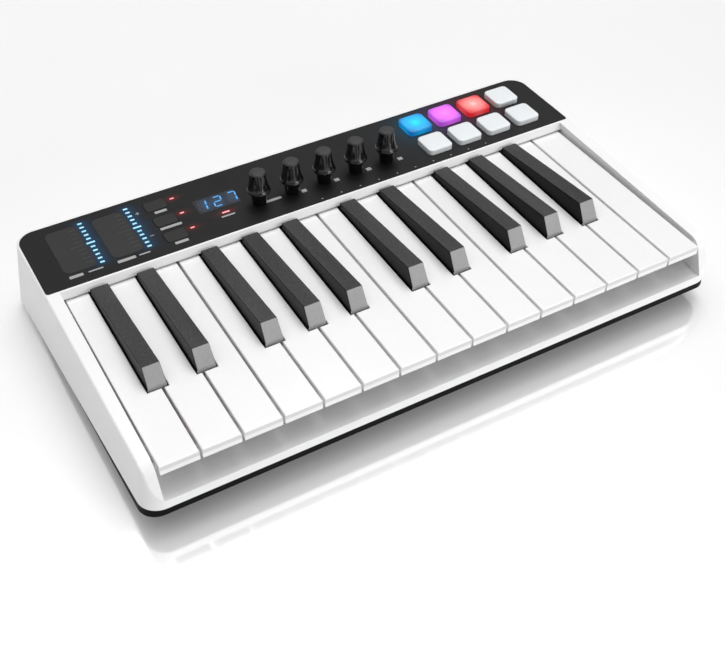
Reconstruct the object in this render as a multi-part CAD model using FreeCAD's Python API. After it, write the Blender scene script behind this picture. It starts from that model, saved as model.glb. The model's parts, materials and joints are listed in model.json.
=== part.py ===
"""Portable 25-key midi keyboard, as an assembly of separate parts.

Units are millimetres. +X runs to the player's right along the keys, +Y to the back, +Z up.
The origin is on the table, under the centre of the case.
"""
import FreeCAD, Part
import math
import os

V = FreeCAD.Vector

# ---------------------------------------------------------------- driving dimensions
PITCH = 23.5                # white key pitch, the full-size keyboard standard
WHITES = 15
KEYS_HALF = PITCH * WHITES / 2.0
KEY_GAP = 1.5
KEY_TOP = 45.0              # white key tops above the table
KEY_Y0 = -103.5             # front faces of the white keys
KEY_LIP = 6.0               # height of a key's front lip
NOTCH_Y = 50.6              # from the key front to the notch for a black key
WELL_Y = 141.0              # from the key front to the wall behind the keys
TAIL_W = 8.0
TAIL_LOW = 34.0
TAIL_TOP = 42.0

BLACK_W = 11.1
BLACK_TOP_W = 10.3
BLACK_Y = 51.7              # foot of a black key's front face
BLACK_FRONT = [(51.7, 46.7), (57.8, 57.3)]
BLACK_REAR_TOP = 48.9
BLACK_PAIR = 2.57           # how far the pair's black keys sit off the white boundary
BLACK_TRIO = 3.53           # the same for the outer two of the trio

PIVOT_Y = 193.0
PIVOT_Z = 37.5
ROD_R = 2.0
ROD_FIT = 0.05
HUB_R = 4.5

DECK = 50.4                 # top of the panel and of the case around it
PANEL_T = 2.0
PANEL_HALF = 184.7
PANEL_Y = (145.3, 206.0)
FOOT_H = 3.0
LIP_TOP = 24.3
CHEEK_IN = 177.3            # inner face of a cheek
WALL = 2.4

SEAM_FRONT = 18.4
SEAM_REAR = 6.0
BAND_FRONT = 13.5           # lower edge of the dark band at the front

LED_ROWS = 11
LED_STEP = 4.08
LED_MID_Y = 178.5
PITCH_STRIP = (-159.2, 178.2)
OCT_STRIP = (-129.5, 178.0)
STRIP_SIZE = (20.0, 42.0)
STRIP_R = 4.6
PITCH_LED_X = -146.2
OCT_LED_X = -116.5
BUTTONS = [(-98.7, 193.4), (-98.7, 176.5), (-98.7, 159.7)]
BUTTON_SIZE = (14.4, 9.6)
BUTTON_R = 2.2
BUTTON_RISE = 0.35
STATUS_LEDS = [(-87.0, 194.9), (-87.0, 178.3), (-87.0, 161.7)]
INPUT_LED = (-62.8, 165.7)
DISPLAY = (-63.7, 178.3)
DISPLAY_SIZE = (28.0, 14.2)
KNOB_X0 = -40.65
KNOB_STEP = 23.0
KNOB_Y = 163.4
PAD_X = [88.55, 112.0, 135.45, 158.9]
PAD_ROWS = [188.1, 163.0]
PAD_SIZE = (18.2, 18.5)
PAD_RISE = 3.5

BOARD_Z = 43.6
BOARD_T = 1.4
SCREWS_FRONT = [(-165.0, 10.5), (-55.0, 10.5), (55.0, 10.5), (165.0, 10.5)]
SCREWS_REAR = [(-165.0, 203.0), (-111.0, 203.0), (60.0, 203.0), (165.0, 203.0)]
JACKS = [("phone", -88.0), ("phone", -68.0), ("usb", -48.0), ("mini", -29.0)]

os.makedirs("parts", exist_ok=True)


# ---------------------------------------------------------------- helpers
def yy(y):
    """Distance behind the key fronts, as a Y coordinate."""
    return KEY_Y0 + y


def box(x0, x1, y0, y1, z0, z1):
    return Part.makeBox(x1 - x0, y1 - y0, z1 - z0, V(x0, y0, z0))


def cyl(r, h, base, axis=V(0, 0, 1)):
    return Part.makeCylinder(r, h, base, axis)


def prism(points, z0, z1):
    """Upright prism over a plan polygon."""
    pts = [V(x, y, z0) for x, y in points]
    face = Part.Face(Part.makePolygon(pts + [pts[0]]))
    return face.extrude(V(0, 0, z1 - z0))


def side_prism(points, x0, x1):
    """Prism across the keyboard over a (y, z) polygon."""
    pts = [V(x0, y, z) for y, z in points]
    face = Part.Face(Part.makePolygon(pts + [pts[0]]))
    return face.extrude(V(x1 - x0, 0, 0))


def rounded_quad(corners, radii, z):
    """Closed wire through four plan corners, each with its own radius."""
    edges = []
    n = len(corners)
    ends = []
    for i in range(n):
        p = V(corners[i][0], corners[i][1], z)
        a = V(corners[i - 1][0], corners[i - 1][1], z)
        b = V(corners[(i + 1) % n][0], corners[(i + 1) % n][1], z)
        u = (a - p).normalize()
        w = (b - p).normalize()
        half = u.getAngle(w) / 2.0
        back = radii[i] / math.tan(half)
        bis = (u + w).normalize()
        centre = p + bis * (radii[i] / math.sin(half))
        mid = centre - bis * radii[i]
        ends.append((p + u * back, mid, p + w * back))
    for i in range(n):
        start, mid, stop = ends[i]
        edges.append(Part.Arc(start, mid, stop).toShape())
        nxt = ends[(i + 1) % n][0]
        edges.append(Part.makeLine(stop, nxt))
    return Part.Wire(edges)


def rounded_box(cx, cy, w, d, r, z0, z1):
    corners = [
        (cx - w / 2, cy - d / 2),
        (cx + w / 2, cy - d / 2),
        (cx + w / 2, cy + d / 2),
        (cx - w / 2, cy + d / 2),
    ]
    wire = rounded_quad(corners, [r] * 4, z0)
    return Part.Face(wire).extrude(V(0, 0, z1 - z0))


def fuse(shapes):
    out = shapes[0]
    if len(shapes) > 1:
        out = shapes[0].multiFuse(shapes[1:])
    return out.removeSplitter()


def save(name, shape):
    solids = shape.Solids
    for s in solids:
        if not s.isValid() or s.Volume <= 0:
            raise RuntimeError("bad solid in " + name)
    out = solids[0] if len(solids) == 1 else Part.makeCompound(solids)
    out.exportStep("parts/" + name + ".step")
    b = out.BoundBox
    print("%-16s solids %2d  x %.1f..%.1f  y %.1f..%.1f  z %.1f..%.1f" % (
        name, len(solids), b.XMin, b.XMax, b.YMin, b.YMax, b.ZMin, b.ZMax))


def top_edges(shape, z, tol=0.02):
    """Edges lying wholly at one height."""
    found = []
    for e in shape.Edges:
        b = e.BoundBox
        if abs(b.ZMin - z) < tol and abs(b.ZMax - z) < tol:
            found.append(e)
    return found


# ---------------------------------------------------------------- case
LOW_Z = 0.0
HIGH_Z = 50.4


def rear_face(z):
    """The back of the case leans in towards the top."""
    return 107.4 - 2.9 * (z - 18.0) / (50.4 - 18.0)


def side_half(y, z):
    """Half width of the case: the sides lean in, and flare a little to the back."""
    return 188.2 - 4.0 * (z - 18.0) / (50.4 - 18.0) + 0.0105 * (y - yy(-5.0))


def case_block(inset, z0, z1):
    """The case's outline as a solid between two heights, set in from the outer faces."""
    block = box(-230.0, 230.0, yy(-5.0) + inset, 140.0, z0, z1)
    y0, y1 = -150.0, 150.0
    for s in (-1, 1):
        pts = []
        for y, z in ((y0, z0 - 1), (y1, z0 - 1), (y1, z1 + 1), (y0, z1 + 1)):
            pts.append(V(s * (side_half(y, z) - inset), y, z))
        face = Part.Face(Part.makePolygon(pts + [pts[0]]))
        block = block.cut(face.extrude(V(s * 80.0, 0, 0)))
    pts = []
    for x, z in ((-240.0, z0 - 1), (240.0, z0 - 1), (240.0, z1 + 1), (-240.0, z1 + 1)):
        pts.append(V(x, rear_face(z) - inset, z))
    face = Part.Face(Part.makePolygon(pts + [pts[0]]))
    block = block.cut(face.extrude(V(0, 80.0, 0))).Solids[0]
    for radius, to_front in ((12.0, True), (13.0, False)):
        edges = []
        for e in block.Edges:
            a, b = [v.Point for v in e.Vertexes]
            if abs(a.z - b.z) > 10.0 and (a.y < 0) == to_front and abs(a.x) > 170.0:
                edges.append(e)
        block = block.makeFillet(max(radius - inset, 2.0), edges[:2]).Solids[0]
    return block


NOSE_CORNER = (2.76, 46.65)
NOSE_R = 9.0


def side_profile(drop, y_in):
    """Solid across the keyboard under the side profile: deck, falling cheek, round nose."""
    pts = [
        (yy(230.0), DECK - drop),
        (yy(143.0), DECK - drop),
        (yy(NOSE_CORNER[0]) + y_in, NOSE_CORNER[1] - drop),
        (yy(-5.2) + y_in, LIP_TOP - drop),
        (yy(-30.0), LIP_TOP - drop),
        (yy(-30.0), -20.0),
        (yy(230.0), -20.0),
    ]
    body = side_prism(pts, -220.0, 220.0)
    nose = []
    for e in body.Edges:
        mid = e.CenterOfMass
        if e.Length > 400.0 and abs(mid.z - pts[2][1]) < 0.01 and abs(mid.y - pts[2][0]) < 0.01:
            nose.append(e)
    return body.makeFillet(max(NOSE_R - drop, 2.0), nose).Solids[0]


def seam_z(y, shift=0.0):
    t = (y - yy(-5.0)) / (yy(212.0) - yy(-5.0))
    return SEAM_FRONT + (SEAM_REAR - SEAM_FRONT) * t + shift


def below_seam(shift, floor):
    y0 = yy(-40.0)
    y1 = yy(250.0)
    pts = [(y0, floor), (y1, floor), (y1, seam_z(y1, shift)), (y0, seam_z(y0, shift))]
    return side_prism(pts, -230.0, 230.0)


def panel_outline(inset, z0, z1):
    half = PANEL_HALF - inset
    y0 = yy(PANEL_Y[0]) + inset
    y1 = yy(PANEL_Y[1]) - inset
    corners = [(-half, y0), (half, y0), (half, y1), (-half, y1)]
    r_rear = 11.0 - inset
    wire = rounded_quad(corners, [2.0, 2.0, r_rear, r_rear], z0)
    return Part.Face(wire).extrude(V(0, 0, z1 - z0))


def outer_case():
    body = case_block(0.0, LOW_Z, 54.0).common(side_profile(0.0, 0.0))
    edges = []
    for e in body.Edges:
        pts = [v.Point for v in e.Vertexes]
        if min(q.z for q in pts) < 26.0 or len(pts) < 2:
            continue
        across = abs(pts[0].x - pts[1].x) > 300.0
        if across and pts[0].y < yy(200.0):
            continue
        edges.append(e)
    for r in (1.4, 1.0, 0.7):
        try:
            out = body.makeFillet(r, edges)
            if out.isValid():
                return out
        except Exception as err:
            print("case edge", r, err)
    return body


def screw_boss(x, y, r, z0, z1, hole):
    return cyl(r, z1 - z0, V(x, yy(y), z0)).cut(cyl(hole, z1 - z0, V(x, yy(y), z0)))


def make_top_case():
    outer = outer_case()
    shell = outer.cut(below_seam(0.0, -30.0))
    room = case_block(WALL, LOW_Z, 54.0)
    front_room = room.common(side_profile(WALL, WALL))
    front_room = front_room.common(box(-230, 230, yy(-20.0), yy(141.5), -10, 60))
    rear_room = room.common(box(-230, 230, yy(141.4), yy(230.0), -10, 46.0))
    shell = shell.cut(front_room).cut(rear_room)
    # the key well, open to the front above the lip
    well = box(-CHEEK_IN, CHEEK_IN, yy(-20.0), yy(WELL_Y), LIP_TOP, 70.0)
    lean = side_prism([(yy(140.9), KEY_TOP + 0.8), (yy(WELL_Y), KEY_TOP + 0.8),
                       (yy(143.7), DECK + 0.01), (yy(143.7), 70.0), (yy(140.9), 70.0)],
                      -CHEEK_IN, CHEEK_IN)
    shell = shell.cut(well).cut(lean)
    mouth = box(-CHEEK_IN, CHEEK_IN, yy(22.0), yy(150.0), -5.0, KEY_TOP + 0.8)
    shell = shell.cut(mouth)
    shell = shell.cut(panel_outline(-0.15, DECK - PANEL_T, 70.0))
    shell = shell.cut(panel_outline(4.0, 30.0, 70.0))
    # inner faces of the two cheeks, down into the case
    for s in (-1, 1):
        x0 = min(s * CHEEK_IN, s * (CHEEK_IN + 2.0))
        skin = box(x0, x0 + 2.0, yy(-4.6), yy(143.5), 10.0, 60.0)
        skin = skin.common(outer_case_cache[0]).cut(below_seam(0.0, -30.0))
        shell = shell.fuse(skin)
    # ledge under the key fronts
    ledge = box(-CHEEK_IN - 1.0, CHEEK_IN + 1.0, yy(-4.0), yy(22.0), LIP_TOP - 2.0, LIP_TOP)
    ledge = ledge.common(case_block(0.5, LOW_Z, 54.0))
    shell = shell.fuse(ledge)
    for x, y in SCREWS_FRONT:
        shell = shell.fuse(screw_boss(x, y, 3.4, 12.6, LIP_TOP - 1.0, 1.45))
        shell = shell.cut(cyl(1.45, 9.0, V(x, yy(y), 12.0)))
    for x, y in SCREWS_REAR:
        shell = shell.fuse(screw_boss(x, y, 2.9, 12.6, 46.5, 1.45))
        shell = shell.cut(cyl(1.45, 20.0, V(x, yy(y), 12.0)))
    for kind, x in JACKS:
        shell = shell.cut(jack_cut(kind, x))
    return shell.removeSplitter()


JACK_Z = 22.1


def jack_cut(kind, x):
    start = V(x, yy(200.0), JACK_Z)
    if kind == "phone":
        return cyl(5.1, 20.0, start, V(0, 1, 0))
    if kind == "mini":
        return cyl(3.4, 20.0, V(x, yy(200.0), JACK_Z - 2.0), V(0, 1, 0))
    return box(x - 6.3, x + 6.3, yy(200.0), yy(220.0), 15.4, 27.0)


def tray_core(inset):
    """Outline below the dark band: it draws in to the floor on all sides, round corners kept."""
    y_band = yy(-5.0) + 0.35 + inset
    x_high, x_low = 189.7 - inset, 182.0 - inset
    flare = 4.0
    y_rear = rear_face(8.0) - 0.35 - inset
    low = rounded_quad([(-x_low, y_band + 10.6), (x_low, y_band + 10.6),
                        (x_low + flare, y_rear), (-x_low - flare, y_rear)],
                       [4.0, 4.0, 8.0, 8.0], 2.9)
    high = rounded_quad([(-x_high, y_band), (x_high, y_band),
                         (x_high + flare, y_rear), (-x_high - flare, y_rear)],
                        [12.0 - inset, 12.0 - inset, 10.0, 10.0], BAND_FRONT)
    core = Part.makeLoft([low, high], True, True)
    top = Part.Face(high).extrude(V(0, 0, 20.0))
    return core, top


def tray_block(inset_case, inset_core):
    core, top = tray_core(inset_core)
    block = case_block(inset_case, LOW_Z, 54.0)
    return block.common(core).fuse(block.common(top)).removeSplitter()


def make_tray():
    outer = tray_block(0.35, 0.0).common(below_seam(-0.1, FOOT_H))
    room = tray_block(0.35 + 2.2, 2.6)
    room = room.cut(box(-230, 230, -230, 230, -10.0, FOOT_H + 2.2))
    tray = outer.cut(room)
    for x, y in SCREWS_FRONT + SCREWS_REAR:
        boss = cyl(4.2, 12.4 - 4.0, V(x, yy(y), 4.0))
        boss = boss.common(below_seam(6.5, -5.0))
        tray = tray.fuse(boss)
        tray = tray.cut(cyl(1.6, 20.0, V(x, yy(y), 0.0)))
        tray = tray.cut(cyl(3.2, 2.2, V(x, yy(y), FOOT_H - 0.2)))
    for x, y in FRAME_FEET:
        tray = tray.fuse(cyl(4.0, 9.4 - 4.0, V(x, yy(y), 4.0)))
    return tray.removeSplitter()


FRAME_FEET = [(-150.0, 45.0), (0.0, 45.0), (150.0, 45.0), (-150.0, 130.0), (0.0, 130.0),
              (150.0, 130.0)]


# ---------------------------------------------------------------- keys
def white_x(i):
    """Centre of a white key, i from 0."""
    return -KEYS_HALF + PITCH * (i + 0.5)


def black_keys():
    """Centres of the black keys with the white boundary each one straddles."""
    offsets = {1: -BLACK_PAIR, 2: BLACK_PAIR, 4: -BLACK_TRIO, 5: 0.0, 6: BLACK_TRIO}
    out = []
    for k in range(1, WHITES):
        step = k % 7
        if step in offsets:
            out.append((k, -KEYS_HALF + PITCH * k + offsets[step]))
    return out


BLACKS = black_keys()


def tail_x(i):
    """Centre of the part of a white key that runs back between black keys."""
    x0 = -KEYS_HALF + PITCH * i + KEY_GAP / 2
    x1 = x0 + PITCH - KEY_GAP
    for k, xb in BLACKS:
        if k == i:
            x0 = xb + BLACK_W / 2 + 0.7
        if k == i + 1:
            x1 = xb - BLACK_W / 2 - 0.7
    return x0, x1


def key_arm(cx, y_from, hook_y, top):
    """Tail, hinge hub, stop hook and contact foot that every key has underneath."""
    parts = [box(cx - TAIL_W / 2, cx + TAIL_W / 2, yy(y_from), yy(PIVOT_Y), TAIL_LOW, TAIL_TOP)]
    parts.append(cyl(HUB_R, TAIL_W, V(cx - TAIL_W / 2, yy(PIVOT_Y), PIVOT_Z), V(1, 0, 0)))
    y0 = yy(hook_y)
    low = 22.4 if hook_y < 40.0 else 24.0
    parts.append(box(cx - 3.0, cx + 3.0, y0, y0 + 2.5, low, top))
    parts.append(box(cx - 3.0, cx + 3.0, y0, y0 + 10.0, low, low + 2.0))
    parts.append(box(cx - 3.0, cx + 3.0, yy(112.0), yy(118.0), 30.0, top))
    return parts


def ribs(cx, half, y0, y1, z0, z1, step):
    out = []
    y = y0
    while y < y1:
        out.append(box(cx - half, cx + half, yy(y), yy(y) + 1.2, z0, z1))
        y += step
    return out


def bore(cx):
    start = V(cx - TAIL_W, yy(PIVOT_Y), PIVOT_Z)
    return cyl(ROD_R + ROD_FIT, TAIL_W * 2, start, V(1, 0, 0))


def make_white(i):
    x0 = white_x(i) - PITCH / 2 + KEY_GAP / 2
    x1 = white_x(i) + PITCH / 2 - KEY_GAP / 2
    n0, n1 = tail_x(i)
    outline = [(x0, yy(0.0)), (x1, yy(0.0))]
    if n1 < x1 - 0.1:
        outline += [(x1, yy(NOTCH_Y)), (n1, yy(NOTCH_Y))]
    outline += [(n1, yy(146.0)), (n0, yy(146.0))]
    if n0 > x0 + 0.1:
        outline += [(n0, yy(NOTCH_Y)), (x0, yy(NOTCH_Y))]
    body = prism(outline, KEY_TOP - KEY_LIP, KEY_TOP)
    face = Part.Face(Part.makePolygon([V(x, y, 0) for x, y in outline + [outline[0]]]))
    inner = face.makeOffset2D(-1.6)
    inner_face = inner if inner.Faces else Part.Face(inner.Wires[0])
    hollow = inner_face.Faces[0].extrude(V(0, 0, KEY_LIP - 2.2))
    hollow.translate(V(0, 0, KEY_TOP - KEY_LIP))
    try:
        edges = [e for e in top_edges(body, KEY_TOP) if e.BoundBox.YMax < yy(145.0) + 1.5]
        body = body.makeFillet(0.7, edges)
    except Exception as err:
        print("white", i, err)
    body = body.cut(hollow)
    cx = (n0 + n1) / 2
    parts = [body] + key_arm(cx, 142.0, 26.0, 43.5)
    parts += ribs(cx, (n1 - n0) / 2 - 1.0, 64.0, 140.0, KEY_TOP - KEY_LIP + 0.6, KEY_TOP - 1.0, 24.0)
    return fuse(parts).cut(bore(cx))


def make_black(i):
    cx = BLACKS[i][1]
    rear = yy(WELL_Y - 0.9)
    pts = [(yy(BLACK_Y), 39.0)]
    pts += [(yy(y), z) for y, z in BLACK_FRONT]
    pts += [(rear, BLACK_REAR_TOP), (rear, 39.0)]
    body = side_prism(pts, cx - BLACK_W / 2, cx + BLACK_W / 2)
    # the sides draw in slightly above the white keys
    lean = (BLACK_W - BLACK_TOP_W) / 2
    for s in (-1, 1):
        xo = cx + s * BLACK_W / 2
        tri = [V(xo, yy(40.0), KEY_TOP), V(xo - s * lean, yy(40.0), 58.0),
               V(xo + s * 3.0, yy(40.0), 58.0), V(xo + s * 3.0, yy(40.0), KEY_TOP)]
        wedge = Part.Face(Part.makePolygon(tri + [tri[0]])).extrude(V(0, 110.0, 0))
        body = body.cut(wedge)
    edges = []
    for e in body.Edges:
        b = e.BoundBox
        if b.ZMax > 48.0 and b.YMax < rear + 0.1 and b.YLength > 1.0:
            edges.append(e)
        elif b.ZMin > 57.0:
            edges.append(e)
    try:
        body = body.makeFillet(0.6, edges)
    except Exception as err:
        print("black", i, err)
    hollow = box(cx - 3.9, cx + 3.9, yy(55.0), rear - 1.8, 38.9, 46.6)
    body = body.cut(hollow)
    arm = key_arm(cx, 136.0, 54.2, 47.2)
    arm += ribs(cx, 4.5, 72.0, 130.0, 40.0, 46.9, 24.0)
    return fuse([body] + arm).cut(bore(cx))


# ---------------------------------------------------------------- keybed
PILLARS = [-179.4, -106.0, -11.6, 58.4, 153.1, 179.0]


def key_centres():
    out = []
    for i in range(WHITES):
        n0, n1 = tail_x(i)
        out.append((n0 + n1) / 2)
    for k, xb in BLACKS:
        out.append(xb)
    return sorted(out)


def rail(y0, y1, z_lip, riser_y):
    """Cross rail with a flat lip that carries the stop felts."""
    lip = box(-175.5, 175.5, yy(y0), yy(y1), z_lip, z_lip + 2.0)
    riser = box(-175.5, 175.5, yy(riser_y), yy(riser_y + 2.0), 11.0, z_lip + 2.0)
    return [lip, riser]


def make_frame():
    parts = [box(-176.0, 176.0, yy(32.0), yy(148.0), 9.5, 11.5)]
    parts.append(box(-182.0, 182.0, yy(145.0), yy(198.2), 9.5, 11.5))
    parts += rail(30.0, 44.0, 26.3, 42.0)
    parts += rail(58.0, 72.0, 27.9, 70.0)
    parts.append(box(-175.5, 175.5, yy(153.0), yy(155.0), 11.0, 27.5))
    parts.append(box(-175.5, 175.5, yy(153.0), yy(159.0), 25.5, 27.5))
    for x in PILLARS:
        parts.append(box(x - 2.0, x + 2.0, yy(187.0), yy(198.4), 11.0, 42.0))
        parts.append(box(x - 2.0, x + 2.0, yy(176.0), yy(187.5), 11.0, 26.0))
    for x in (-160.0, -80.0, 0.0, 80.0, 160.0):
        for y in (104.0, 126.0):
            parts.append(cyl(3.0, 5.6, V(x, yy(y), 11.4)))
    for x, y in BOARD_POSTS:
        parts.append(cyl(2.6, 2.2, V(x, yy(y), 11.4)))
    frame = fuse(parts)
    for x in PILLARS:
        start = V(x - 5.0, yy(PIVOT_Y), PIVOT_Z)
        frame = frame.cut(cyl(ROD_R + 0.03, 10.0, start, V(1, 0, 0)))
    # lightening windows in the floor of the chassis
    for x in (-140.0, -70.0, 0.0, 70.0, 140.0):
        frame = frame.cut(rounded_box(x, yy(87.0), 50.0, 20.0, 4.0, 9.0, 12.0))
    return frame.removeSplitter()


BOARD_POSTS = [(-95.0, 165.0), (-58.0, 165.0), (-21.0, 165.0)]


def make_rod():
    return cyl(ROD_R, 363.0, V(-181.5, yy(PIVOT_Y), PIVOT_Z), V(1, 0, 0))


def make_springs():
    """One steel comb: a strip along the rail and a finger under each key's tail."""
    strip = box(-175.0, 175.0, yy(153.3), yy(158.8), 27.5, 28.0)
    parts = [strip]
    for cx in key_centres():
        pts = [(yy(158.0), 27.5), (yy(158.0), 28.0), (yy(180.0), 32.9), (yy(181.5), 32.6),
               (yy(181.5), 32.1), (yy(180.0), 32.35)]
        parts.append(side_prism(pts, cx - 2.0, cx + 2.0))
    return fuse(parts)


def make_felts():
    return Part.makeCompound([
        box(-175.0, 175.0, yy(30.5), yy(41.5), 28.3, 30.3),
        box(-175.0, 175.0, yy(30.5), yy(39.5), 24.8, 26.3),
        box(-175.0, 175.0, yy(58.5), yy(69.5), 29.9, 31.7),
        box(-175.0, 175.0, yy(58.5), yy(67.5), 26.4, 27.9),
    ])


def make_sensor_board():
    board = box(-174.0, 174.0, yy(99.0), yy(131.0), 17.0, 18.6)
    for x in (-160.0, -80.0, 0.0, 80.0, 160.0):
        board = board.cut(cyl(1.3, 4.0, V(x, yy(126.0), 16.0)))
    return board


def make_domes():
    parts = [box(-173.0, 173.0, yy(109.0), yy(121.0), 18.6, 19.8)]
    for cx in key_centres():
        parts.append(Part.makeCone(4.2, 2.8, 5.2, V(cx, yy(115.0), 19.7)))
    return fuse(parts)


# ---------------------------------------------------------------- panel
def led_boxes(grow=0.0, z0=45.0, z1=DECK + 0.1):
    """Light bars: two columns with a longer middle bar, status lights, input light."""
    out = []
    for x in (PITCH_LED_X, OCT_LED_X):
        for k in range(LED_ROWS):
            y = LED_MID_Y + (k - LED_ROWS // 2) * LED_STEP
            w = 5.2 if k == LED_ROWS // 2 else 2.7
            out.append((x, y, w, 1.3))
    for x, y in STATUS_LEDS:
        out.append((x, y, 2.6, 1.1))
    out.append((INPUT_LED[0], INPUT_LED[1], 4.8, 1.2))
    solids = []
    for x, y, w, d in out:
        solids.append(box(x - w / 2 - grow, x + w / 2 + grow,
                          yy(y) - d / 2 - grow, yy(y) + d / 2 + grow, z0, z1))
    return solids


def knob_x(k):
    return KNOB_X0 + KNOB_STEP * k


def make_panel():
    panel = panel_outline(0.0, DECK - PANEL_T, DECK)
    cuts = led_boxes(0.05, 40.0, 60.0)
    for cx, cy in (PITCH_STRIP, OCT_STRIP):
        cuts.append(rounded_box(cx, yy(cy), STRIP_SIZE[0] + 0.2, STRIP_SIZE[1] + 0.2, STRIP_R + 0.1,
                                40, 60))
    for cx, cy in BUTTONS:
        cuts.append(rounded_box(cx, yy(cy), BUTTON_SIZE[0] + 0.5, BUTTON_SIZE[1] + 0.5,
                                BUTTON_R + 0.25, 40, 60))
    cuts.append(rounded_box(DISPLAY[0], yy(DISPLAY[1]), DISPLAY_SIZE[0] + 0.1,
                            DISPLAY_SIZE[1] + 0.1, 1.05, 40, 60))
    for k in range(5):
        cuts.append(cyl(3.6, 20.0, V(knob_x(k), yy(KNOB_Y), 40.0)))
    for cy in PAD_ROWS:
        for cx in PAD_X:
            cuts.append(rounded_box(cx, yy(cy), PAD_SIZE[0] + 0.8, PAD_SIZE[1] + 0.8, 3.4, 40, 60))
    panel = panel.cut(Part.makeCompound(cuts))
    posts = []
    for x, y in PANEL_POSTS:
        posts.append(cyl(2.2, DECK - PANEL_T + 0.5 - BOARD_Z - BOARD_T, V(x, yy(y), BOARD_Z + BOARD_T)))
    return fuse([panel] + posts)


PANEL_POSTS = [(-176.0, 177.0), (-108.0, 152.0), (-74.0, 152.0), (-70.0, 197.0), (-6.0, 197.0),
               (70.0, 152.0), (70.0, 197.0), (176.0, 177.0)]


def make_strips():
    out = []
    for cx, cy in (PITCH_STRIP, OCT_STRIP):
        out.append(rounded_box(cx, yy(cy), STRIP_SIZE[0], STRIP_SIZE[1], STRIP_R,
                               BOARD_Z + BOARD_T, DECK - 0.05))
    return Part.makeCompound(out)


def make_window():
    return rounded_box(DISPLAY[0], yy(DISPLAY[1]), DISPLAY_SIZE[0], DISPLAY_SIZE[1], 1.0,
                       DECK - 1.3, DECK)


def make_display():
    cx, cy = DISPLAY
    body = box(cx - 13.0, cx + 13.0, yy(cy) - 6.6, yy(cy) + 6.6, BOARD_Z + BOARD_T, DECK - 1.35)
    return body


def make_control_board():
    board = box(-179.0, 179.0, yy(148.5), yy(198.5), BOARD_Z, BOARD_Z + BOARD_T)
    return board


def make_encoders():
    out = []
    for k in range(5):
        x = knob_x(k)
        y = yy(KNOB_Y)
        body = box(x - 6.0, x + 6.0, y - 6.5, y + 6.5, BOARD_Z + BOARD_T, DECK - PANEL_T - 0.05)
        body = body.fuse(cyl(3.5, 5.0, V(x, y, DECK - PANEL_T - 0.1)))
        body = body.fuse(cyl(3.0, 16.0, V(x, y, DECK + 2.0)))
        out.append(body.removeSplitter())
    return Part.makeCompound(out)


KNOB_H = 24.0
# radius and height above the knob's foot: neck, waist bead, hollow flare, rounded cap
KNOB_PROFILE = [
    (0.0, 0.0), (4.3, 0.0), (4.5, 0.3), (4.75, 3.0), (4.8, 6.5), (5.2, 7.9), (6.4, 8.8),
    (7.2, 9.3), (7.5, 10.1), (7.35, 10.9), (6.9, 11.6), (6.3, 13.6), (5.75, 16.4),
    (5.35, 19.4), (5.1, 22.2), (4.8, 23.4), (4.2, KNOB_H), (0.0, KNOB_H),
]


def make_knob(k):
    """Turned knob on the encoder's shaft."""
    x = knob_x(k)
    y = yy(KNOB_Y)
    base = DECK + 0.5
    pts = [V(x + r, y, base + h) for r, h in KNOB_PROFILE]
    body = Part.Face(Part.makePolygon(pts + [pts[0]])).revolve(V(x, y, 0), V(0, 0, 1), 360)
    body = body.cut(cyl(3.05, 18.7, V(x, y, base - 1.0)))
    body = body.cut(cyl(3.9, 3.5, V(x, y, base - 1.0)))
    return body


def make_pad(cx, cy):
    top = DECK + PAD_RISE
    body = rounded_box(cx, yy(cy), PAD_SIZE[0], PAD_SIZE[1], 3.2, 46.2, top)
    try:
        body = body.makeFillet(0.9, top_edges(body, top))
    except Exception as err:
        print("pad", err)
    skirt = rounded_box(cx, yy(cy), PAD_SIZE[0] + 2.4, PAD_SIZE[1] + 2.4, 3.6, 46.2, 47.5)
    body = body.fuse(skirt).removeSplitter()
    return body.cut(rounded_box(cx, yy(cy), 12.0, 12.0, 2.0, 45.0, 47.4))


def make_button(cx, cy):
    w, d = BUTTON_SIZE
    top = DECK + BUTTON_RISE
    body = rounded_box(cx, yy(cy), w, d, BUTTON_R, 46.0, top)
    try:
        body = body.makeFillet(0.3, top_edges(body, top))
    except Exception as err:
        print("button", err)
    skirt = rounded_box(cx, yy(cy), w + 1.8, d + 1.8, BUTTON_R + 0.9, 46.0, 47.3)
    return body.fuse(skirt).removeSplitter()


# ---------------------------------------------------------------- rear sockets, feet, screws
def make_main_board():
    board = box(-99.0, -17.0, yy(161.0), yy(200.0), 13.6, 15.2)
    for x in PILLARS:
        board = board.cut(box(x - 2.6, x + 2.6, yy(175.0), yy(202.0), 13.0, 16.0))
    return board


def make_jacks():
    out = []
    for kind, x in JACKS:
        flush = rear_face(JACK_Z) - 0.25
        inner = rear_face(JACK_Z) - WALL - 1.1
        if kind == "phone":
            body = box(x - 8.0, x + 8.0, inner - 24.0, inner, 15.2, 15.2 + 14.0)
            body = body.fuse(cyl(5.0, flush - inner + 1.0, V(x, inner - 1.0, JACK_Z), V(0, 1, 0)))
            body = body.cut(cyl(3.2, 22.0, V(x, flush - 22.0, JACK_Z), V(0, 1, 0)))
        elif kind == "mini":
            z = JACK_Z - 2.0
            body = box(x - 5.0, x + 5.0, inner - 13.0, inner, 15.2, 15.2 + 9.6)
            body = body.fuse(cyl(3.3, flush - inner + 1.0, V(x, inner - 1.0, z), V(0, 1, 0)))
            body = body.cut(cyl(1.8, 13.0, V(x, flush - 13.0, z), V(0, 1, 0)))
        else:
            body = box(x - 6.0, x + 6.0, inner - 16.0, flush, 15.2 + 0.3, 26.7)
            body = body.cut(box(x - 4.6, x + 4.6, flush - 11.0, flush + 1.0, 17.4, 24.8))
            body = body.fuse(box(x - 3.0, x + 3.0, flush - 11.5, flush - 1.2, 19.6, 22.6))
            body = body.fuse(box(x - 6.0, x + 6.0, inner - 16.0, inner - 4.0, 15.2, 16.0))
        out.append(body.removeSplitter())
    return Part.makeCompound(out)


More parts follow.
